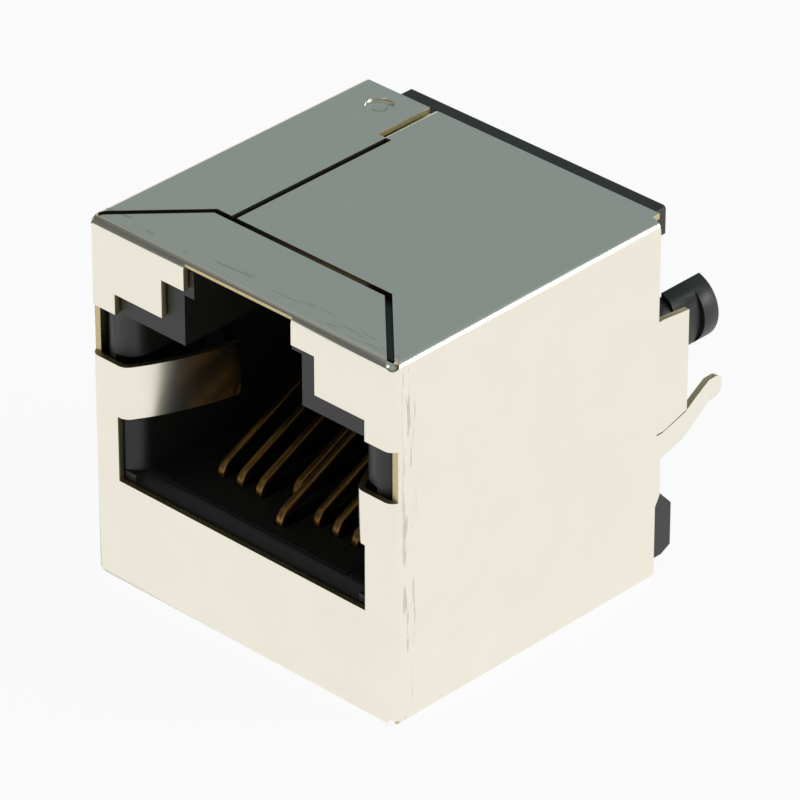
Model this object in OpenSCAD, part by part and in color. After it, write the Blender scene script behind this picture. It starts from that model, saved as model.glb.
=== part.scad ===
// Shielded eight-way modular jack, top-entry form.
// A moulded housing with a plug port, a moulded carrier that holds eight
// spring contacts, and one folded sheet-metal shield around them.
// The port looks along -Y, the latch side is up, and the board side is +Y.
// The origin is midway between the two board pegs, on the plane of the board.

/* [Shield] */
// Width of the shield across its side walls
shield_w = 16; // [15:0.1:18]
// Height of the shield from its bottom to its top sheet
shield_h = 16; // [15.4:0.1:18]
// Depth of the shield from its front face to its top's back edge
shield_d = 14.88; // [14:0.02:17]
// How far the side walls stop short of that edge
side_short = 0.4; // [0.2:0.05:0.7]
// Thickness of the sheet
sheet_t = 0.25; // [0.15:0.01:0.3]
// Outside radius of each fold
fold_r = 0.45; // [0.35:0.01:0.6]
// Width of the open seams between folded edges
seam_gap = 0.28; // [0.1:0.01:0.4]
// Depth of the front flaps folded back over the top and the bottom
flap_d = 3.5; // [2.5:0.1:4.5]
// Width of the strip folded over from the left wall
strip_w = 4.1; // [3.5:0.1:5]
// Length of the joggled tab under the back of that strip
tab_l = 2.9; // [2:0.1:4]
// How far the strip's edge steps back over the tab
strip_step = 0.46; // [0.2:0.02:0.8]
// How far that tab reaches under the strip
tab_reach = 3.1; // [2.5:0.1:3.3]
// Diameter of the clinch that joins strip and tab
clinch_d = 1.15; // [0.8:0.05:1.4]
// Distance from the strip's edge to the clinch
clinch_x = 2; // [1.5:0.1:2.4]
// Distance from the shield's back edge to the clinch
clinch_y = 1.2; // [0.8:0.05:1.5]

/* [Front window] */
// Width of the window in the front sheet
window_w = 13.1; // [12.7:0.05:13.4]
// Height of the window's lower edge
window_z = 4.78; // [4.4:0.02:4.9]
// Width of the middle step of the window
step_w = 8; // [7:0.1:9]
// Width of the notch that opens through the top fold
notch_w = 5.6; // [5.2:0.1:6.4]
// Height of the upper shoulders
shoulder_z2 = 14.7; // [14.2:0.05:15]
// Height of the lower shoulders
shoulder_z1 = 13.05; // [12.7:0.05:13.4]
// Upper edge of the corner slots over the ground fingers
slot_z = 12.15; // [11.8:0.05:12.4]
// How far back the corner slots cut the side walls
slot_y = 0.3; // [0.26:0.01:0.8]

/* [Ground fingers] */
// Lower edge of the ground fingers
finger_z = 7.65; // [7:0.05:8]
// Height of the ground fingers
finger_h = 2.3; // [1.6:0.05:2.4]
// Depth that the fingers reach into the port
finger_d = 4.5; // [3.5:0.1:5.5]
// Lean of the fingers where they enter the port, in degrees
finger_lean = 32; // [28:1:35]
// Clear width between the finger tips
finger_span = 8.8; // [8.2:0.1:9.4]

/* [Board side of the shield] */
// How far the side extensions pass the shield's back edges, to the board
seat_d = 1.32; // [1.2:0.02:2]
// Top of the side extensions
ext_z2 = 11.6; // [11:0.1:12.2]
// Bottom of the side extensions
ext_z1 = 7; // [6.8:0.05:7.5]
// Height of the shield tails' centre
tail_z = 6; // [5.5:0.05:6.1]
// Width of each shield tail
tail_w = 1.1; // [0.8:0.05:1.3]
// Length of the shield tails below the board's surface
tail_l = 3.6; // [2.5:0.1:4.5]
// How far the tails lean in at their tips
tail_in = 1.4; // [0.8:0.05:1.8]

/* [Housing] */
// Width of the chamfers that clear the shield's folds
edge_cut = 0.35; // [0.3:0.01:0.5]
// Clearance between the housing and the shield
fit_gap = 0.05; // [0.02:0.01:0.08]
// Width of the plug port
port_w = 11.9; // [11.75:0.01:12.1]
// Height of the port's floor
floor_z = 5.15; // [5.1:0.01:5.4]
// Height of the plug port, floor to shoulders
port_h = 6.95; // [6.7:0.01:7.1]
// Depth of the port from the front of the shield
port_d = 13.2; // [12.4:0.1:13.6]
// Radius of the rounded lead-in at the port's floor and sides
lead_r = 0.9; // [0.5:0.05:0.95]
// Radius of the housing's upright front corners
post_r = 0.8; // [0.4:0.05:0.85]
// Width of the lower latch channel
latch_w1 = 6.14; // [6:0.02:6.4]
// Width of the upper latch channel between its lips
latch_w2 = 5.1; // [4.2:0.1:5.3]
// Height where the latch channel steps in
latch_z = 13.75; // [13.5:0.05:14.2]
// Depth of the latch lips
lip_d = 1.55; // [1:0.05:2]
// Rise of the ramp under each latch lip toward the front
lip_rise = 0.55; // [0:0.05:0.6]
// Depth of the wide latch space behind the lips
latch_d = 8; // [6:0.1:10]
// Width of the housing's rear section
rear_w = 13.4; // [13:0.1:13.6]
// Step from the shield's top down to the housing's rear section
rear_drop = 0.55; // [0.5:0.05:0.9]
// Bottom of the housing's rear section
rear_z1 = 0.6; // [0.5:0.05:0.9]
// How far the rear face stands off the board
standoff = 0.6; // [0.4:0.05:0.9]
// Height of the standoff bar along the top
bar_h = 1.2; // [0.8:0.1:1.6]

/* [Board pegs and feet] */
// Radius of the pegs' half-round tongues
peg_r = 1.48; // [1.46:0.01:1.55]
// Radius of the full round roots of the pegs
peg_root_r = 1.28; // [1.2:0.01:1.3]
// Distance between the two board pegs
peg_span = 11.43; // [10.8:0.01:11.8]
// Height of the pegs above the bottom of the shield
peg_z = 9.78; // [9.3:0.02:10]
// Length of the pegs below the board's surface
peg_l = 2.65; // [2:0.05:4]
// Length of the full round root of each peg, below the board's surface
peg_root = 0.5; // [0.4:0.05:0.7]
// Distance from a peg's axis to the flat of its half-round tongue
peg_flat = 0.42; // [0.3:0.02:0.6]
// Length of the snap head at the tip of the tongue
head_l = 0.8; // [0.6:0.05:1]
// Depth of the shoulder behind the snap head
head_d = 0.24; // [0.1:0.02:0.3]
// Outer width across the two lower standoff feet
foot_span = 14.6; // [14.2:0.1:14.9]
// Width of each foot
foot_w = 2; // [1.2:0.1:2.2]
// Height of the feet's flat tops
foot_h = 2.15; // [1.5:0.05:2.4]
// Height of the feet above the bottom of the shield
foot_z = 0.45; // [0.4:0.05:0.8]

/* [Contacts] */
// Number of contacts in the row
contacts_n = 8; // [8:8]
// Pitch of the contacts across the port
pitch = 1.02; // [1:0.01:1.04]
// Thickness and width of the contact wire
wire = 0.36; // [0.3:0.01:0.42]
// Rise of the contacts toward the back of the port, in degrees
rise = 25; // [22:0.5:27]
// Where the contacts leave the port's floor
emerge_y = 2.65; // [2.4:0.05:2.8]
// Height of the contacts' bends over the port's floor
bend_h = 0.38; // [0.2:0.02:0.5]
// Inside bend radius of the contacts
wire_r = 0.3; // [0.25:0.01:0.35]
// How far the two middle contacts are set back and forward of the others
stagger = 0.95; // [0:0.05:1]
// Where the free ends stop in the port
free_y = 12.5; // [11.8:0.1:12.6]
// Height of the outer row of contact tails
row_z1 = 1.83; // [1.7:0.01:2]
// Distance between the two rows of contact tails
row_gap = 2.54; // [2.4:0.01:2.6]
// Length of the contact tails below the board's surface
pin_l = 3.2; // [2.5:0.1:4]
// Clearance of the wires in the carrier
wire_gap = 0.04; // [0.02:0.01:0.06]

/* [Carrier and comb] */
// Width of the contact carrier
carrier_w = 9.4; // [9:0.1:10]
// Underside of the carrier
carrier_z = 0.95; // [0.9:0.05:1.2]
// Front of the carrier behind the shield's face
carrier_y = 0.95; // [0.9:0.05:1]
// Clearance round the carrier in the housing
carrier_gap = 0.05; // [0.03:0.01:0.1]
// Width of the slots that the contacts move in
comb_slot = 0.62; // [0.5:0.02:0.66]
// Depth of the comb at the back of the port
comb_d = 1.5; // [1.1:0.1:1.8]

/* [Hidden] */
$fn = 48;
eps = 0.01;
far = 40;
seat_y = shield_d + seat_d;              // plane of the board
rear_y = seat_y - standoff;              // rear face of housing and carrier
rear_z2 = shield_h - rear_drop;          // top of the housing's rear section
in_w = shield_w - 2 * sheet_t;           // inside width of the shield
in_z1 = sheet_t;
in_z2 = shield_h - sheet_t;
body_w = in_w - 2 * fit_gap;             // width of the housing's front body
body_back = shield_d - side_short - 0.1; // back of that body
body_y = sheet_t + fit_gap;              // front face of the housing
body_z1 = in_z1 + fit_gap;
body_z2 = in_z2 - fit_gap;
port_z2 = floor_z + port_h;              // underside of the port's shoulders
strip_x = -shield_w / 2 + strip_w;       // inner edge of the left strip
tab_y = shield_d - tab_l;                // where the joggle starts
tab_drop = sheet_t + 0.03;               // the tab lies just under the strip
joggle_x = strip_x - strip_step;         // low side of the joggle's slope
joggle_w = strip_step + 0.04;
row_z2 = row_z1 + row_gap;
finger_end = finger_z + finger_h;
clinch_pos = [strip_x - clinch_x, shield_d - clinch_y];

// ---- Helpers ----

// The front lower edge of the shield is at y = 0, z = 0 while drawing.
module place() { translate([0, -seat_y, -peg_z]) children(); }

// Both sides of the jack.
module pair() { children(); mirror([1, 0, 0]) children(); }

// Profile in X and Z, drawn from y0 to y1.
module along_y(y0, y1) {
    translate([0, y1, 0]) rotate([90, 0, 0]) linear_extrude(y1 - y0) children();
}

// Profile in Y and Z, drawn from x0 to x1.
module along_x(x0, x1) {
    translate([x0, 0, 0]) rotate([90, 0, 90]) linear_extrude(x1 - x0) children();
}

// Profile in X and Y, drawn from z0 to z1.
module along_z(z0, z1) { translate([0, 0, z0]) linear_extrude(z1 - z0) children(); }

// Box from one corner to the other.
module box(a, b) { translate(a) cube(b - a); }

// Rectangle from a to b with true round corners.
module round_rect(a, b, r) {
    translate([a.x + r, a.y]) square([b.x - a.x - 2 * r, b.y - a.y]);
    translate([a.x, a.y + r]) square([b.x - a.x, b.y - a.y - 2 * r]);
    for (x = [a.x + r, b.x - r], y = [a.y + r, b.y - r]) translate([x, y]) circle(r);
}

// Points of an arc round c, from angle a0 to angle a1.
function arc(c, r, a0, a1, n = 8) =
    [for (i = [0 : n]) let (a = a0 + (a1 - a0) * i / n) c + r * [cos(a), sin(a)]];

function unit(v) = v / norm(v);

// Sideways offset of point i of path p, mitred in the corners.
function side(p, i, t) =
    let (n = len(p),
         d0 = unit(p[max(i, 1)] - p[max(i, 1) - 1]),
         d1 = unit(p[min(i + 1, n - 1)] - p[min(i + 1, n - 1) - 1]),
         m = unit([-d0.y - d1.y, d0.x + d1.x]))
    m * t / 2 / (m * [-d1.y, d1.x]);

// Outline of a strip of thickness t that follows path p.
function ribbon(p, t) = concat(
    [for (i = [0 : len(p) - 1]) p[i] + side(p, i, t)],
    [for (i = [len(p) - 1 : -1 : 0]) p[i] - side(p, i, t)]);

// ---- Shield ----

// Rounded block, open toward the back, that is m smaller on every wall.
module wrap(m, back) {
    r = fold_r - m;
    intersection() {
        along_y(m, back)
            round_rect([-shield_w / 2 + m, m], [shield_w / 2 - m, shield_h - m], r);
        along_z(0, shield_h)
            round_rect([-shield_w / 2 + m, m], [shield_w / 2 - m, far], r);
        along_x(-shield_w, shield_w)
            round_rect([m, m], [far, shield_h - m], r);
    }
}

// Outline of the stepped window in the front sheet.
module window_outline() {
    for (s = [-1, 1]) scale([s, 1]) polygon([
        [-eps, window_z], [window_w / 2, window_z],
        [window_w / 2, shoulder_z1], [step_w / 2, shoulder_z1],
        [step_w / 2, shoulder_z2], [notch_w / 2, shoulder_z2],
        [notch_w / 2, shield_h - sheet_t - 0.05], [-eps, shield_h - sheet_t - 0.05]]);
}

// Seams of a folded face, in X and Y: two mitres, the back edge of the front
// flap and the long seam beside the left strip.
module seams(long_end) {
    g = seam_gap;
    lx = -shield_w / 2 + flap_d - 0.1;
    rx = shield_w / 2 - flap_d - 0.1;
    polygon(ribbon([[-shield_w / 2 + 0.1, 0.1], [lx, flap_d], [rx, flap_d],
                    [shield_w / 2 - 0.25, 0.15], [shield_w / 2 - 0.25, -1]], g));
    translate([strip_x, flap_d]) square([g, long_end - flap_d]);
}

// Side wall behind the shield's folded body: back edge, extension and the
// root of the tail, in Y and Z.
module side_wall_outline() {
    b = shield_d - side_short;
    polygon([[b - 1, ext_z2], [b + 0.3, ext_z2],
             [seat_y, ext_z2 - 0.15], [seat_y, ext_z1],
             [b + 0.4, tail_z + tail_w / 2 + 0.06],
             [b - 1, tail_z + tail_w / 2 + 0.06]]);
    polygon([[b - 1, tail_z], [b + 0.25, tail_z],
             [b + 0.25, tail_z - 2.2], [b - 0.05, tail_z - 2.75], [b - 1, tail_z - 2.75]]);
}

// Solder tail: a strip that leans in and then runs straight to its tip.
module tail() {
    x0 = shield_w / 2 - sheet_t / 2;
    path = [[x0, shield_d - 1], [x0, shield_d - 0.1],
            [x0 - tail_in * 0.27, seat_y + 0.3],
            [x0 - tail_in * 0.97, seat_y + tail_l * 0.78],
            [x0 - tail_in, seat_y + tail_l]];
    intersection() {
        along_z(tail_z - tail_w / 2, tail_z + tail_w / 2) polygon(ribbon(path, sheet_t));
        along_x(0, shield_w) {
            polygon([[0, tail_z - tail_w], [seat_y, tail_z - tail_w / 2],
                     [seat_y + tail_l - 0.4, tail_z - tail_w * 0.4],
                     [seat_y + tail_l - 0.4, tail_z + tail_w * 0.45],
                     [0, tail_z + tail_w]]);
            translate([seat_y + tail_l - 0.4, tail_z + tail_w * 0.025])
                circle(tail_w * 0.425);
        }
    }
}

// Ground finger: it leaves the window's edge, turns into the port by a small
// bend and bows toward the plug on one long arc that ends at its tip.
module finger() {
    t = sheet_t;
    bend_r = 0.4;
    bend = [window_w / 2 - 0.1, t / 2 + bend_r];
    start = bend + bend_r * [cos(180 + finger_lean), sin(180 + finger_lean)];
    way = [finger_span / 2 + t / 2, finger_d] - start;
    end_lean = 2 * atan(-way.x / way.y) - finger_lean;
    bow_r = norm(way) / 2 / sin((finger_lean - end_lean) / 2);
    centre = bend - (bow_r - bend_r) * [cos(180 + finger_lean), sin(180 + finger_lean)];
    path = concat([[window_w / 2 + 0.3, t / 2]],
                  arc(bend, bend_r, 270, 180 + finger_lean, 6),
                  arc(centre, bow_r, 178 + finger_lean, 180 + end_lean, 10));
    along_z(finger_z, finger_end) polygon(ribbon(path, t));
}

module shield() {
    color([0.86, 0.85, 0.80]) place() {
        difference() {
            wrap(0, shield_d);
            wrap(sheet_t, far);
            // Stepped window, and the notch through the top fold.
            along_y(-1, fold_r + eps) window_outline();
            box([-notch_w / 2, -1, shoulder_z2], [notch_w / 2, 0.1, shield_h + 1]);
            // The side walls stop short of the top's back edge.
            box([shield_w / 2 - fold_r, shield_d - side_short, -1], [far, far, far]);
            box([-far, shield_d - side_short, -1],
                [-shield_w / 2 + fold_r, far, shield_h - fold_r]);
            // Corner slots over the ground fingers.
            pair() box([window_w / 2 - eps, -1, finger_end],
                       [shield_w, slot_y, slot_z]);
            // Open seams of the top and the bottom.
            along_z(shield_h - sheet_t - eps, shield_h + 1) seams(tab_y);
            along_z(-1, sheet_t + eps) seams(shield_d + 1);
            // Room for the joggle at the back of the top.
            box([joggle_x, tab_y, shield_h - sheet_t - eps],
                [joggle_x + joggle_w + 0.1, shield_d + 1, shield_h + 1]);
            // Relief holes where four folds meet.
            pair() for (z = [0.12, shield_h - 0.12])
                translate([shield_w / 2 - 0.14, 0.14, z]) sphere(0.3, $fn = 24);
            // Clinch: a ring pressed into the strip.
            translate([clinch_pos.x, clinch_pos.y, shield_h - 0.12])
                difference() {
                    cylinder(d = clinch_d, h = 1);
                    translate([0, 0, -1]) cylinder(d = clinch_d * 0.55, h = 1.06);
                }
        }
        // Joggle and the tab under the strip.
        along_y(tab_y, shield_d) {
            z = shield_h;
            x0 = joggle_x;
            x1 = joggle_x + joggle_w;
            polygon([[x1 + 0.2, z], [x1, z], [x1 - 0.15, z - 0.04],
                     [x0 + 0.15, z - tab_drop + 0.06], [x0, z - tab_drop],
                     [strip_x - tab_reach, z - tab_drop],
                     [strip_x - tab_reach, z - tab_drop - sheet_t],
                     [x0 + 0.05, z - tab_drop - sheet_t],
                     [x0 + 0.2, z - tab_drop - sheet_t + 0.06],
                     [x1 - 0.1, z - sheet_t - 0.04], [x1 + 0.2, z - sheet_t]]);
        }
        translate([clinch_pos.x, clinch_pos.y, shield_h - tab_drop - sheet_t + eps])
            cylinder(d = clinch_d, h = sheet_t + 0.1);
        pair() {
            finger();
            along_x(shield_w / 2 - sheet_t, shield_w / 2) side_wall_outline();
            tail();
        }
    }
}

// ---- Housing ----

// Cross-section of the plug port below the latch channel.
module port_outline(m = 0) {
    translate([-port_w / 2 - m, floor_z - m]) square([port_w + 2 * m, port_h + 2 * m]);
}

// Corner left over outside a quarter round, with its sharp corner at 0, 0.
module cove(r) {
    difference() {
        translate([-1, -1]) square([r + 1, r + 1]);
        translate([r, r]) circle(r);
    }
}

// Port mouth: floor and side walls curve out toward the front.
module lead_in() {
    along_x(-port_w / 2, port_w / 2)
        translate([body_y, floor_z]) mirror([0, 1]) cove(lead_r);
    pair() along_z(floor_z, port_z2)
        translate([port_w / 2, body_y]) cove(lead_r);
}

// Cross-section of a peg's half-round tongue, its outer side m lower.
module tongue(m) {
    intersection() {
        circle(peg_r);
        translate([peg_flat, -peg_r]) square(2 * peg_r);
        if (m > 0) translate([-m - peg_r / 2, 0]) circle(peg_r * 1.5);
        else translate([0, -peg_r]) square(2 * peg_r);
    }
}

// Peg along +Y: a coned foot, a full round root that centres in the board,
// and a half-round tongue with a snap head.
module peg() {
    root_y = seat_y + peg_root;
    head_y = seat_y + peg_l - head_l;
    rotate([-90, 0, 0]) {
        translate([0, 0, body_back - 0.1])
            cylinder(r1 = peg_r + 0.15, r2 = peg_root_r + 0.02, h = seat_y - body_back + 0.1);
        translate([0, 0, seat_y - 0.02]) cylinder(r = peg_root_r, h = peg_root + 0.02);
    }
    along_y(root_y - 0.02, head_y + 0.01) tongue(head_d);
    along_y(head_y, seat_y + peg_l) tongue(0);
}

// Foot: a chamfered pad that reaches the plane of the board.
module foot() {
    z1 = foot_z + foot_h;
    along_x(foot_span / 2 - foot_w, foot_span / 2)
        polygon([[shield_d - 1, foot_z - 0.1], [seat_y - 0.5, foot_z - 0.1],
                 [seat_y, foot_z + 0.15], [seat_y, z1 - 0.1],
                 [seat_y - 0.6, z1 + 0.55], [shield_d - 1, z1 + 0.55]]);
}

// Slots of the comb at the back of the port, one for each contact.
module comb_slots(z0, z1) {
    for (i = [0 : contacts_n - 1]) {
        x = (i - (contacts_n - 1) / 2) * pitch;
        box([x - comb_slot / 2, port_d - comb_d - eps, z0],
            [x + comb_slot / 2, port_d, z1]);
    }
}

module housing() {
    color([0.13, 0.13, 0.12]) place() difference() {
        union() {
            // Front body inside the shield, with rounded upright posts.
            intersection() {
                along_y(body_y, body_back)
                    translate([-body_w / 2, body_z1]) square([body_w, body_z2 - body_z1]);
                along_z(body_z1, body_z2)
                    round_rect([-body_w / 2, body_y], [body_w / 2, far], post_r);
            }
            // Rear section, the bar along the top, the feet and the pegs.
            along_y(shield_d - 1, rear_y)
                round_rect([-rear_w / 2, rear_z1], [rear_w / 2, rear_z2], 0.15);
            along_y(shield_d - 1, seat_y) intersection() {
                round_rect([-rear_w / 2, rear_z1], [rear_w / 2, rear_z2], 0.15);
                translate([-far, rear_z2 - bar_h]) square([2 * far, bar_h]);
            }
            pair() {
                foot();
                translate([peg_span / 2, 0, peg_z]) peg();
            }
        }
        // Chamfered edges that clear the folds of the shield.
        for (z = [body_z1, body_z2]) {
            pair() along_y(0, shield_d)
                translate([body_w / 2, z]) rotate(45) square(edge_cut, center = true);
            along_x(-far, far)
                translate([body_y, z]) rotate(45) square(edge_cut, center = true);
        }
        // Plug port with its rounded lead-in.
        along_y(-1, port_d - comb_d) port_outline();
        lead_in();
        // Latch channel: a stepped mouth between the lips, wide behind them.
        along_y(-1, body_y + lip_d + eps)
            translate([-latch_w2 / 2, port_z2 - 1]) square([latch_w2, far]);
        along_x(-latch_w1 / 2, latch_w1 / 2)
            polygon([[-1, port_z2 - 1], [-1, latch_z + lip_rise], [body_y, latch_z + lip_rise],
                     [body_y + lip_d + eps, latch_z], [body_y + lip_d + eps, port_z2 - 1]]);
        box([-latch_w1 / 2, body_y + lip_d, port_z2 - 1],
            [latch_w1 / 2, body_y + lip_d + latch_d, far]);
        // Slots of the comb, and the pocket of the carrier.
        comb_slots(floor_z - 1, port_z2 - 0.4);
        box([-carrier_w / 2 - carrier_gap, carrier_y - carrier_gap, carrier_z - carrier_gap],
            [carrier_w / 2 + carrier_gap, seat_y + 1, floor_z + eps]);
        // Pockets for the ground fingers.
        pair() box([port_w / 2 - 1, -1, finger_z - 0.25],
                   [window_w / 2 + 0.35, finger_d + 0.6, finger_end + 0.25]);
        // Recess for the joggled tab.
        box([strip_x - tab_reach - 0.2, tab_y - 0.2, shield_h - 2 * sheet_t - 0.1],
            [strip_x + seam_gap + 0.3, shield_d + 0.15, far]);
        // Cored pockets in the rear face.
        pair() box([1.2, port_d + 1.1, peg_z - 1.6], [peg_span / 2 - peg_r - 0.5, far, rear_z2 - bar_h - 0.6]);
    }
}

// ---- Contacts and carrier ----

// Where contact i stands: the two middle ones are set back and forward.
function contact_y(i) = emerge_y + (i == contacts_n / 2 ? stagger
                                    : i == contacts_n / 2 + 1 ? -stagger : 0);

// Centre line of contact i in Y and Z, from its tail to its free end.
// Odd contacts use the outer row of tails and even ones the inner row.
function odd(i) = i % 2 == 1;
function contact_path(i) =
    let (r = wire_r + wire / 2,
         y0 = contact_y(i),
         knee = floor_z + bend_h,
         yc = y0 + r,
         zc = knee - r * tan((90 - rise) / 2),
         zt = zc - r - 0.06,
         reach = free_y - y0,
         end_z = knee + reach * tan(rise),
         jog_y = rear_y - 2.2)
    concat([[seat_y + pin_l, odd(i) ? row_z1 : row_z2]],
           odd(i) ? [] : [[jog_y, row_z2], [jog_y - abs(row_z2 - zt), zt]],
           arc([yc, (odd(i) ? row_z1 : zt) + r], r, 270, 180, 6),
           arc([yc, zc], r, 180, 90 + rise, 5),
           [[free_y, end_z], [free_y + 0.35, end_z - 0.02]]);

function contact_x(i) = (i - (contacts_n + 1) / 2) * pitch;

module contact(i) {
    color([0.83, 0.66, 0.32]) place()
        along_x(contact_x(i) - wire / 2, contact_x(i) + wire / 2)
            polygon(ribbon(contact_path(i), wire));
}

module contact_1() { contact(1); }
module contact_2() { contact(2); }
module contact_3() { contact(3); }
module contact_4() { contact(4); }
module contact_5() { contact(5); }
module contact_6() { contact(6); }
module contact_7() { contact(7); }
module contact_8() { contact(8); }

module contact_carrier() {
    color([0.16, 0.16, 0.15]) place() difference() {
        along_y(carrier_y, rear_y)
            translate([-carrier_w / 2, carrier_z]) square([carrier_w, floor_z - carrier_z]);
        for (i = [1 : contacts_n]) {
            // The wire's own channel.
            along_x(contact_x(i) - wire / 2 - wire_gap, contact_x(i) + wire / 2 + wire_gap)
                polygon(ribbon(contact_path(i), wire + 2 * wire_gap));
            // The open slot that the spring sinks into when a plug goes in.
            box([contact_x(i) - comb_slot / 2, contact_y(i), floor_z - 0.6],
                [contact_x(i) + comb_slot / 2, port_d - 3, floor_z + 1]);
        }
    }
}

shield();
housing();
contact_carrier();
contact_1();
contact_2();
contact_3();
contact_4();
contact_5();
contact_6();
contact_7();
contact_8();
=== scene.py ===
# %% [markdown]
# # A shielded board jack, dressed for its portrait
# The jack is already built as exact solids: one folded shield, one moulded
# housing, a contact carrier and eight spring wires. This script loads those
# solids, gives each piece its real finish, adds the small things that a
# stamping press and a mould leave behind, and lights it like a small product
# on a white table. Everything is in metres, in the same frame as the solids.

# %% Load the solids
import bpy
import bmesh
import math
from mathutils import Vector, Matrix
from mathutils.bvhtree import BVHTree


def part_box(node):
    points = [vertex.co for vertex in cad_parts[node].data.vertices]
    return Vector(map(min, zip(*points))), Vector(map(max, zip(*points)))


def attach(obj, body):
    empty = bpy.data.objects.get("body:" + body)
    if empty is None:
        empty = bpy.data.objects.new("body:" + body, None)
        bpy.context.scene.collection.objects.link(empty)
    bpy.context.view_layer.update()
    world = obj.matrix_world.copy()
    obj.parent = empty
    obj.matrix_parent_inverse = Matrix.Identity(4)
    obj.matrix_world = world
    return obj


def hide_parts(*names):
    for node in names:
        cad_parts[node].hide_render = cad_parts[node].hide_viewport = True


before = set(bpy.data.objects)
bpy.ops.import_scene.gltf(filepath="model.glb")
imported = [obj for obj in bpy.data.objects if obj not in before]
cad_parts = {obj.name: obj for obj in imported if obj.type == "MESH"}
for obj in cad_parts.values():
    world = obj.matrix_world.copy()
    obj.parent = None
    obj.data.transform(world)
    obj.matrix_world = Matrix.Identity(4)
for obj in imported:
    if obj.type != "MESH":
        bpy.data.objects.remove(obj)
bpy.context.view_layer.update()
MM = 0.001
print("solids:", sorted(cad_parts))

# %% [markdown]
# The shield's own box gives the face of the jack, its bottom and its sides.
# Naming those planes once keeps every later step free of loose numbers.

# %% Name the main planes
shield_low, shield_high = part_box("shield")
FRONT = shield_low.y
BOTTOM = shield_low.z
TOP = shield_high.z
HALF = shield_high.x
SHEET = 0.25 * MM          # thickness of the shield's sheet
WELD = 0.002 * MM          # points nearer than this are one point
FAR = 5 * MM               # reach of a test ray
print("front at", round(FRONT / MM, 2), "top at", round(TOP / MM, 2))


def at(x, y, z):
    """A point in mm, counted from the middle of the shield's lower front edge."""
    return Vector((x * MM, FRONT + y * MM, BOTTOM + z * MM))


# %% [markdown]
# ## Colours and shader nodes
# Colours are written as the sRGB hex values a designer would pick, and one
# function turns them into the linear values that a shader works in. One small
# helper adds a node, sets its values and makes its links.

# %% Helpers for colours and nodes
def linear(hex_colour, alpha=1.0):
    out = []
    for i in (0, 2, 4):
        c = int(hex_colour.lstrip("#")[i:i + 2], 16) / 255
        out.append(c / 12.92 if c <= 0.04045 else ((c + 0.055) / 1.055) ** 2.4)
    return (*out, alpha)


def add(tree, kind, values=None, links=None, **settings):
    """Adds a node. values sets inputs, links joins inputs to other outputs."""
    node = tree.nodes.new(kind)
    for name, value in settings.items():
        setattr(node, name, value)
    for key, value in (values or {}).items():
        node.inputs[key].default_value = value
    for key, source in (links or {}).items():
        tree.links.new(source, node.inputs[key])
    return node


def new_material(name):
    mat = bpy.data.materials.new(name)
    mat.use_nodes = True
    mat.node_tree.nodes.clear()
    return mat, mat.node_tree


def finish_material(tree, shader):
    out = tree.nodes.new("ShaderNodeOutputMaterial")
    tree.links.new(shader.outputs[0], out.inputs["Surface"])


# %% [markdown]
# ## Nickel-plated sheet
# The shield is stamped from thin copper-alloy strip that was nickel plated
# first. The rolled strip is bright but not a mirror: it has a very fine grain
# along the rolling direction and cloudy patches where fingers and trays
# touched it. Jacks also rub against each other in their tray, which leaves
# short scuffs beside the folds. Those are drawn by stretched noise that is let
# through only in a narrow band along each fold.

# %% Shader helpers for places on the part
def math_node(tree, operation, a, b=None, c=None):
    """One Math node. a, b and c are numbers or outputs of other nodes."""
    node = tree.nodes.new("ShaderNodeMath")
    node.operation = operation
    for i, value in enumerate((a, b, c)):
        if value is None:
            continue
        if isinstance(value, (int, float)):
            node.inputs[i].default_value = value
        else:
            tree.links.new(value, node.inputs[i])
    return node.outputs[0]


def band(tree, coordinate, middle, half_width):
    """1 at the middle of a band, falling to 0 at its edges. Sizes in metres."""
    off = math_node(tree, "ABSOLUTE", math_node(tree, "SUBTRACT", coordinate, middle))
    step = add(tree, "ShaderNodeMapRange", {"From Min": half_width, "From Max": half_width * 0.4},
               {"Value": off}, interpolation_type="SMOOTHSTEP")
    return step.outputs[0]


def scratches(tree, where, stretch, scale, threshold):
    """Thin marks: noise that is stretched, then cut off below a threshold."""
    turn = add(tree, "ShaderNodeMapping", {"Scale": stretch}, {"Vector": where})
    noise = add(tree, "ShaderNodeTexNoise", {"Scale": scale, "Detail": 3.0, "Roughness": 0.6},
                {"Vector": turn.outputs[0]})
    cut = add(tree, "ShaderNodeMapRange", {"From Min": threshold, "From Max": threshold + 0.06},
              {"Value": noise.outputs["Fac"]})
    return cut.outputs[0]


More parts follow.
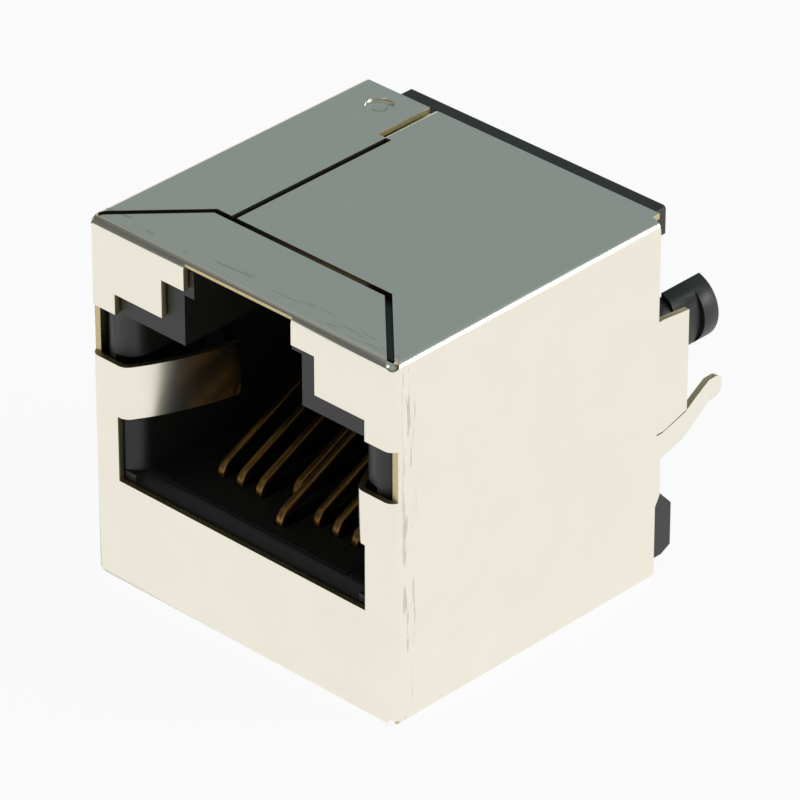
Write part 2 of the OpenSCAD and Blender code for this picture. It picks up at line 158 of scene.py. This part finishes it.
# %% Nickel plating
def nickel_plate():
    mat, t = new_material("nickel_plated_strip")
    where = add(t, "ShaderNodeTexCoord").outputs["Object"]
    place = add(t, "ShaderNodeSeparateXYZ", {}, {0: where}).outputs
    # Cloudy handling marks, a few millimetres across.
    cloud = add(t, "ShaderNodeTexNoise", {"Scale": 420.0, "Detail": 4.0, "Roughness": 0.6},
                {"Vector": where}).outputs["Fac"]
    # Rolling grain: noise stretched hard along one direction, 0.05 mm wide.
    grain_map = add(t, "ShaderNodeMapping", {"Scale": (1.0, 0.03, 1.0)}, {"Vector": where})
    grain = add(t, "ShaderNodeTexNoise", {"Scale": 18000.0, "Detail": 2.0},
                {"Vector": grain_map.outputs[0]}).outputs["Fac"]
    # Upright rubs on the side walls, just behind the front folds.
    side_band = band(t, place["Y"], FRONT + 0.85 * MM, 0.5 * MM)
    on_side = math_node(t, "GREATER_THAN", math_node(t, "ABSOLUTE", place["X"]), HALF - 0.1 * MM)
    side_rub = math_node(t, "MULTIPLY", math_node(t, "MULTIPLY", side_band, on_side),
                         scratches(t, where, (1.0, 1.0, 0.10), 5200.0, 0.55))
    # Rubs on the top, just behind the front fold.
    top_band = band(t, place["Y"], FRONT + 0.75 * MM, 0.5 * MM)
    on_top = math_node(t, "GREATER_THAN", place["Z"], TOP - 0.1 * MM)
    top_rub = math_node(t, "MULTIPLY", math_node(t, "MULTIPLY", top_band, on_top),
                        scratches(t, where, (0.12, 1.0, 1.0), 4200.0, 0.56))
    rub = math_node(t, "ADD", side_rub, top_rub)
    # A few hairlines all over the top.
    hair = math_node(t, "MULTIPLY", on_top, scratches(t, where, (0.5, 0.06, 1.0), 1500.0, 0.70))
    rough = math_node(t, "MULTIPLY_ADD", cloud, 0.10, 0.15)
    rough = math_node(t, "MULTIPLY_ADD", rub, 0.22, rough)
    tint = add(t, "ShaderNodeMix", {}, {"Factor": cloud}, data_type="RGBA")
    tint.inputs[6].default_value = linear("#F6F1E3")
    tint.inputs[7].default_value = linear("#EFE9D9")
    worn = add(t, "ShaderNodeMix", {}, {"Factor": math_node(t, "MULTIPLY", rub, 0.6),
                                        6: tint.outputs[2]}, data_type="RGBA")
    worn.inputs[7].default_value = linear("#B9B7A6")
    relief = math_node(t, "MULTIPLY_ADD", rub, 6.0, grain)
    relief = math_node(t, "MULTIPLY_ADD", hair, 3.0, relief)
    bump = add(t, "ShaderNodeBump", {"Strength": 0.03, "Distance": 0.00001}, {"Height": relief})
    skin = add(t, "ShaderNodeBsdfPrincipled", {"Metallic": 1.0},
               {"Base Color": worn.outputs[2], "Roughness": rough, "Normal": bump.outputs[0]})
    finish_material(t, skin)
    return mat


nickel = nickel_plate()
print("made", nickel.name)

# %% [markdown]
# ## Bare cut edge
# The strip was plated before it was stamped, so every cut edge shows the
# yellowish copper alloy inside. The shear leaves it rough. Edges that face
# each other across a seam get a darker copy, painted shade for the shade in the narrow gap.

# %% Bare copper-alloy edges
def bare_edge(name, light, dark, roughness):
    mat, t = new_material(name)
    where = add(t, "ShaderNodeTexCoord").outputs["Object"]
    grit = add(t, "ShaderNodeTexNoise", {"Scale": 9000.0, "Detail": 3.0}, {"Vector": where})
    mix = add(t, "ShaderNodeMix", {}, {"Factor": grit.outputs["Fac"]}, data_type="RGBA")
    mix.inputs[6].default_value = linear(light)
    mix.inputs[7].default_value = linear(dark)
    skin = add(t, "ShaderNodeBsdfPrincipled", {"Metallic": 1.0, "Roughness": roughness},
               {"Base Color": mix.outputs[2]})
    finish_material(t, skin)
    return mat


cut_edge = bare_edge("sheared_copper_alloy_edge", "#E0D3A8", "#BCA87A", 0.42)
# The seam edge's darker colours are painted shade: they stand in for the shade inside the narrow
# seams.
seam_edge_painted_shade = bare_edge("seam_edge_with_painted_shade", "#6A6048", "#3C372B", 0.6)
print("made", cut_edge.name, "and", seam_edge_painted_shade.name)

# %% [markdown]
# ## Moulded black plastic
# Housing and carrier are glass-filled thermoplastic, moulded black. The mould
# was finely eroded, so the skin is a soft semi-gloss with a grain of about a
# twentieth of a millimetre.

# %% Moulded plastics
def moulded(name, colour, roughness, grain_mm):
    mat, t = new_material(name)
    where = add(t, "ShaderNodeTexCoord").outputs["Object"]
    grain = add(t, "ShaderNodeTexNoise", {"Scale": 1 / (grain_mm * MM), "Detail": 2.0},
                {"Vector": where})
    flow = add(t, "ShaderNodeTexNoise", {"Scale": 300.0, "Detail": 3.0}, {"Vector": where})
    rough = add(t, "ShaderNodeMapRange", {"To Min": roughness - 0.06, "To Max": roughness + 0.08},
                {"Value": flow.outputs["Fac"]})
    bump = add(t, "ShaderNodeBump", {"Strength": 0.25, "Distance": 0.00002},
               {"Height": grain.outputs["Fac"]})
    skin = add(t, "ShaderNodeBsdfPrincipled",
               {"Base Color": linear(colour), "IOR": 1.55},
               {"Roughness": rough.outputs[0], "Normal": bump.outputs[0]})
    finish_material(t, skin)
    return mat


housing_black = moulded("glass_filled_black_thermoplastic", "#232320", 0.42, 0.06)
carrier_black = moulded("dull_black_thermoplastic", "#171714", 0.6, 0.05)
print("made", housing_black.name, "and", carrier_black.name)

# %% [markdown]
# ## Gold-flashed wire
# The springs are drawn phosphor bronze wire with a thin flash of gold. Gold
# keeps its default index, and its colour varies a little in soft spots.

# %% Gold wire
def gold_wire():
    mat, t = new_material("gold_flashed_wire")
    where = add(t, "ShaderNodeTexCoord").outputs["Object"]
    spots = add(t, "ShaderNodeTexNoise", {"Scale": 2500.0, "Detail": 3.0}, {"Vector": where})
    mix = add(t, "ShaderNodeMix", {}, {"Factor": spots.outputs["Fac"]}, data_type="RGBA")
    mix.inputs[6].default_value = linear("#B58C50")
    mix.inputs[7].default_value = linear("#7C5A34")
    skin = add(t, "ShaderNodeBsdfPrincipled", {"Metallic": 1.0, "Roughness": 0.34},
               {"Base Color": mix.outputs[2]})
    finish_material(t, skin)
    return mat


gold = gold_wire()
print("made", gold.name)

# %% [markdown]
# ## Turning a solid into a finished piece
# A solid arrives as loose triangles with razor edges. A copy is welded, flat
# neighbours are dissolved into whole faces, and a tiny bevel is cut on its
# edges: nothing real has a perfectly sharp edge, and that thin line of light
# is what makes metal look like metal.

# %% Weld, dissolve and bevel a copy
def dressed_copy(node, name, bevel_mm, segments=2):
    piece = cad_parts[node].copy()
    piece.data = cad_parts[node].data.copy()
    piece.name = piece.data.name = name
    piece.parent = None
    for key in list(piece.keys()):
        del piece[key]
    bpy.context.scene.collection.objects.link(piece)
    piece.data.materials.clear()
    bm = bmesh.new()
    bm.from_mesh(piece.data)
    bmesh.ops.remove_doubles(bm, verts=bm.verts, dist=WELD)
    bmesh.ops.dissolve_degenerate(bm, edges=bm.edges, dist=WELD)
    bmesh.ops.dissolve_limit(bm, angle_limit=math.radians(0.5), verts=bm.verts, edges=bm.edges)
    bm.to_mesh(piece.data)
    bm.free()
    bevel = piece.modifiers.new("edge", "BEVEL")
    bevel.width = bevel_mm * MM
    bevel.segments = segments
    bevel.limit_method = "ANGLE"
    bevel.angle_limit = math.radians(30)
    bevel.use_clamp_overlap = True
    for face in piece.data.polygons:
        face.use_smooth = True
    weighted = piece.modifiers.new("flat_faces_lead", "WEIGHTED_NORMAL")
    weighted.weight = 80
    print(name, len(piece.data.polygons), "faces before its bevel")
    return piece


def make_real(piece):
    deps = bpy.context.evaluated_depsgraph_get()
    mesh = bpy.data.meshes.new_from_object(piece.evaluated_get(deps))
    piece.modifiers.clear()
    piece.data = mesh
    mesh.name = piece.name
    return piece


# %% [markdown]
# ## The shield
# Each face of the copied shield is tested with a ray shot inwards. If the ray
# meets the far skin after one sheet thickness, the face is plated. If it runs
# on through the sheet, the face is a sheared edge and gets the bare alloy, and
# where a second ray shot outwards meets the other side of a seam, it gets the
# darker copy, painted shade for the shade inside the seam. The joggle's slope and the clinch are
# pressed, not cut.

# %% Dress the shield
CLINCH = at(-5.9, 13.68, 16)   # middle of the clinch
CLINCH_REACH = 1.0 * MM        # everything this near to it is pressed
SEAM = 0.4 * MM                # widest gap that still counts as a seam
TAB_START = at(0, 12, 0).y     # behind this the strip lies over the tab


def ray_length(tree, start, direction, reach):
    hit = tree.ray_cast(start + direction * WELD, direction, reach)
    return hit[3] if hit[0] is not None else reach


def is_pressed(middle, normal):
    slope = abs(normal.x) > 0.2 and abs(normal.z) > 0.2
    from_clinch = (middle - CLINCH).xy.length
    return slope or (from_clinch < CLINCH_REACH and middle.z > TOP - 0.4 * MM)


def mark_cut_edges(piece):
    mesh = piece.data
    mesh.calc_loop_triangles()
    largest = {}
    for tri in mesh.loop_triangles:
        if tri.area > largest.get(tri.polygon_index, (0, None))[0]:
            largest[tri.polygon_index] = (tri.area, tri)
    tree = BVHTree.FromPolygons([v.co for v in mesh.vertices],
                                [tuple(t.vertices) for t in mesh.loop_triangles])
    cut = seam = 0
    for p in mesh.polygons:
        tri = largest[p.index][1]
        middle = sum((mesh.vertices[i].co for i in tri.vertices), Vector()) / 3
        if is_pressed(middle, p.normal):
            continue
        if ray_length(tree, middle, -p.normal, FAR) > 1.8 * SHEET:
            p.material_index = 1
            cut += 1
            over_tab = middle.z > TOP - SHEET and middle.y > TAB_START
            # A cut face that looks across a seam gets the darker edge, painted shade for the
            # shade in the gap.
            if not over_tab and ray_length(tree, middle, p.normal, FAR) < SEAM:
                p.material_index = 2
                seam += 1
    print(piece.name, cut, "sheared faces,", seam, "of them in seams")


shield = dressed_copy("shield", "folded_shield", 0.025)
shield.data.materials.append(nickel)
shield.data.materials.append(cut_edge)
shield.data.materials.append(seam_edge_painted_shade)
mark_cut_edges(shield)
make_real(shield)
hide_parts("shield")
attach(shield, "root")

# %% [markdown]
# ## The mouldings
# Housing and carrier keep their solids' shapes, with a slightly larger edge
# round than the shield, as mould steel gives.

# %% Dress the housing and the carrier
housing = dressed_copy("housing", "moulded_housing", 0.05)
housing.data.materials.append(housing_black)
make_real(housing)
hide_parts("housing")
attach(housing, "root")

carrier = dressed_copy("contact_carrier", "moulded_carrier", 0.03)
carrier.data.materials.append(carrier_black)
make_real(carrier)
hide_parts("contact_carrier")
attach(carrier, "root")

# %% [markdown]
# ## The spring wires
# Eight wires run the same way: in from the board, up through the carrier, and
# back over in a long rising spring. Python gives only the sharp corners of
# each centre line, and Geometry Nodes bends them with one radius, sweeps a
# rounded square along them and sets the finish, as the wire-forming die does.

# %% Node tree that bends and sweeps wires
def wire_tree():
    t = bpy.data.node_groups.new("bent_wires", "GeometryNodeTree")
    t.interface.new_socket("Geometry", in_out="INPUT", socket_type="NodeSocketGeometry")
    for name, kind, value in (("Wire", "NodeSocketFloat", 0.36 * MM),
                              ("Bend radius", "NodeSocketFloat", 0.48 * MM),
                              ("Corner", "NodeSocketFloat", 0.08 * MM),
                              ("Finish", "NodeSocketMaterial", None)):
        s = t.interface.new_socket(name, in_out="INPUT", socket_type=kind)
        if value is not None:
            s.default_value = value
    t.interface.new_socket("Geometry", in_out="OUTPUT", socket_type="NodeSocketGeometry")
    inp = add(t, "NodeGroupInput").outputs
    line = add(t, "GeometryNodeMeshToCurve", {}, {"Mesh": inp["Geometry"]})
    bent = add(t, "GeometryNodeFilletCurve", {"Limit Radius": True, "Count": 7},
               {"Curve": line.outputs[0], "Radius": inp["Bend radius"]}, mode="POLY")
    quad = add(t, "GeometryNodeCurvePrimitiveQuadrilateral", {},
               {"Width": inp["Wire"], "Height": inp["Wire"]})
    profile = add(t, "GeometryNodeFilletCurve", {"Count": 3},
                  {"Curve": quad.outputs[0], "Radius": inp["Corner"]}, mode="POLY")
    tube = add(t, "GeometryNodeCurveToMesh", {"Fill Caps": True},
               {"Curve": bent.outputs[0], "Profile Curve": profile.outputs[0]})
    real = add(t, "GeometryNodeRealizeInstances", {}, {0: tube.outputs[0]})
    painted = add(t, "GeometryNodeSetMaterial", {},
                  {"Geometry": real.outputs[0], "Material": inp["Finish"]})
    add(t, "NodeGroupOutput", {}, {"Geometry": painted.outputs[0]})
    return t


WIRES = wire_tree()
print("inputs:", [s.name for s in WIRES.interface.items_tree if s.in_out == "INPUT"])

# %% [markdown]
# Each wire's corners come from the box of its own solid: how far its tail
# reaches, how far forward its upright stands and how high its free end lies.
# The outer row of tails bends twice, and the inner row has one more jog.

# %% Make the eight wires
WIRE = 0.36 * MM
BEND = 0.48 * MM
CORNER = 0.08 * MM
SLOPE = math.radians(25)
RISE = math.tan(SLOPE)
ROW_GAP = 2.54 * MM
FREE_Y = at(0, 12.5, 0).y
OUTER_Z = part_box("contact_1")[0].z + WIRE / 2


def centre_line(number):
    lo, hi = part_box("contact_%d" % number)
    x = (lo.x + hi.x) / 2
    front = lo.y + WIRE / 2
    free_z = hi.z - WIRE / 2 / math.cos(SLOPE)
    knee_z = free_z - (FREE_Y - front) * RISE
    points = [(x, hi.y, OUTER_Z), (x, front, OUTER_Z)]
    if number % 2 == 0:
        inner_z = OUTER_Z + ROW_GAP
        jog_y, run_z = at(0, 13.4, 0).y, at(0, 0, 4.68).z
        points = [(x, hi.y, inner_z), (x, jog_y, inner_z),
                  (x, jog_y - abs(inner_z - run_z), run_z), (x, front, run_z)]
    points += [(x, front, knee_z), (x, FREE_Y, free_z),
               (x, FREE_Y + 0.35 * MM, free_z - 0.02 * MM)]
    return points


def bent_wires(name, numbers):
    corners, edges = [], []
    for n in numbers:
        line = centre_line(n)
        start = len(corners)
        corners += line
        edges += [(start + i, start + i + 1) for i in range(len(line) - 1)]
    mesh = bpy.data.meshes.new(name)
    mesh.from_pydata(corners, edges, [])
    piece = bpy.data.objects.new(name, mesh)
    bpy.context.scene.collection.objects.link(piece)
    mod = piece.modifiers.new("wires", "NODES")
    mod.node_group = WIRES
    ids = {s.name: s.identifier for s in WIRES.interface.items_tree if s.in_out == "INPUT"}
    mod[ids["Wire"]] = WIRE
    mod[ids["Bend radius"]] = BEND
    mod[ids["Corner"]] = CORNER
    mod[ids["Finish"]] = gold
    make_real(piece)
    bm = bmesh.new()
    bm.from_mesh(piece.data)
    bmesh.ops.recalc_face_normals(bm, faces=bm.faces)
    bm.to_mesh(piece.data)
    bm.free()
    piece.data.set_sharp_from_angle(angle=math.radians(50))
    for face in piece.data.polygons:
        face.use_smooth = True
    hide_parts(*["contact_%d" % n for n in numbers])
    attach(piece, "root")
    print(name, len(piece.data.polygons), "faces")
    return piece


bent_wires("spring_wires_outer_row", [1, 3, 5, 7])
bent_wires("spring_wires_inner_row", [2, 4, 6, 8])

# %% [markdown]
# ## Table, room and lamps
# The jack lies on a white table. Bright metal shows its surroundings, so the
# room matters more than the lamps: white below and round the horizon, a dim
# ceiling above, which is what turns the top of the shield grey, and a dark
# screen at the front left, which draws the dark line along the front fold.

# %% Table and room
def white_table():
    mat, t = new_material("white_table")
    path = add(t, "ShaderNodeLightPath").outputs
    seen = add(t, "ShaderNodeMath", {}, {0: path["Is Camera Ray"], 1: path["Is Glossy Ray"]},
               operation="MAXIMUM")
    seen = add(t, "ShaderNodeMath", {}, {0: seen.outputs[0], 1: path["Is Transmission Ray"]},
               operation="MAXIMUM")
    part = add(t, "ShaderNodeMath", {1: 0.93}, {0: seen.outputs[0]}, operation="MULTIPLY")
    paper = add(t, "ShaderNodeBsdfDiffuse", {"Color": linear("#F4F4F4")})
    glow = add(t, "ShaderNodeEmission", {"Color": (1, 1, 1, 1), "Strength": 1.0})
    mix = add(t, "ShaderNodeMixShader", {}, {0: part.outputs[0], 1: paper.outputs[0],
                                             2: glow.outputs[0]})
    finish_material(t, mix)
    return mat


bpy.ops.mesh.primitive_plane_add(size=1.2, location=(0, 0, BOTTOM - 0.02 * MM))
table = bpy.context.object
table.name = "table"
table.data.materials.append(white_table())

world = bpy.data.worlds.new("room")
bpy.context.scene.world = world
world.use_nodes = True
w = world.node_tree
w.nodes.clear()
direction = add(w, "ShaderNodeTexCoord").outputs["Generated"]
way = add(w, "ShaderNodeSeparateXYZ", {}, {0: direction}).outputs


def sky(stops):
    """Colours by height, from (height, hex) pairs."""
    ramp = add(w, "ShaderNodeValToRGB", {}, {0: way["Z"]})
    line = ramp.color_ramp
    while len(line.elements) < len(stops):
        line.elements.new(0.5)
    for element, (height, colour) in zip(line.elements, stops):
        element.position = height
        element.color = linear(colour)
    return ramp.outputs[0]


open_side = sky([(0.02, "#FFFFFF"), (0.22, "#8B989C"), (0.8, "#8B989C")])
dark_side = sky([(0.00, "#FFFFFF"), (0.06, "#6E6F6C"), (0.62, "#626664"), (0.80, "#A2A6A6")])
# The front left is screened off: 1 there, 0 from the sides on.
front_left = math_node(w, "ADD", math_node(w, "MULTIPLY", way["X"], -0.55),
                       math_node(w, "MULTIPLY", way["Y"], -0.83))
screen = add(w, "ShaderNodeMapRange", {"From Min": 0.05, "From Max": 0.45},
             {"Value": front_left}, interpolation_type="SMOOTHSTEP")
room = add(w, "ShaderNodeMix", {}, {"Factor": screen.outputs[0], 6: open_side, 7: dark_side},
           data_type="RGBA")
back = add(w, "ShaderNodeBackground", {"Strength": 1.0}, {"Color": room.outputs[2]})
out = w.nodes.new("ShaderNodeOutputWorld")
w.links.new(back.outputs[0], out.inputs[0])

# %% [markdown]
# Two soft boxes: a large one behind on the right, which draws the bright line
# along the right fold, and a weak one in front on the right that fills the
# port.

# %% Lamps
def soft_box(name, direction, distance, size, power):
    data = bpy.data.lights.new(name, "AREA")
    data.shape = "RECTANGLE"
    data.size, data.size_y = size
    data.energy = power
    lamp = bpy.data.objects.new(name, data)
    bpy.context.scene.collection.objects.link(lamp)
    d = Vector(direction).normalized()
    lamp.location = Vector((0, -0.009, 0)) + d * distance
    lamp.rotation_euler = d.to_track_quat("Z", "Y").to_euler()
    return lamp


soft_box("soft_box_right", (0.80, 0.58, 0.36), 0.5, (0.30, 0.12), 0.9)
soft_box("soft_box_front", (0.30, -0.90, 0.30), 0.5, (0.20, 0.10), 0.10)

# %% [markdown]
# ## Camera
# A long lens from the front right, a little above: the view that shows the
# port, the folded top and the board side at once.

# %% Camera
def look(azimuth, elevation, roll, focal_px, distance, target, shift):
    az, el, ro = (math.radians(a) for a in (azimuth, elevation, roll))
    back = Vector((math.sin(az) * math.cos(el), -math.cos(az) * math.cos(el), math.sin(el)))
    right = Vector((math.cos(az), math.sin(az), 0))
    up = back.cross(right)
    right, up = (right * math.cos(ro) - up * math.sin(ro),
                 right * math.sin(ro) + up * math.cos(ro))
    data = bpy.data.cameras.new("camera")
    data.sensor_width = 36
    data.lens = focal_px * 36 / 800
    data.shift_x, data.shift_y = shift
    data.clip_start, data.clip_end = 0.01, 10
    cam = bpy.data.objects.new("camera", data)
    bpy.context.scene.collection.objects.link(cam)
    cam.matrix_world = Matrix.Translation(target + back * distance) @ Matrix(
        (right, up, back)).transposed().to_4x4()
    bpy.context.scene.camera = cam
    return cam


look(44.174, 31.306, 0.184, 6608, 0.25169, at(0, 7.234, 8.001), (0.0329, -0.0005))
bpy.context.scene.view_settings.view_transform = "Standard"
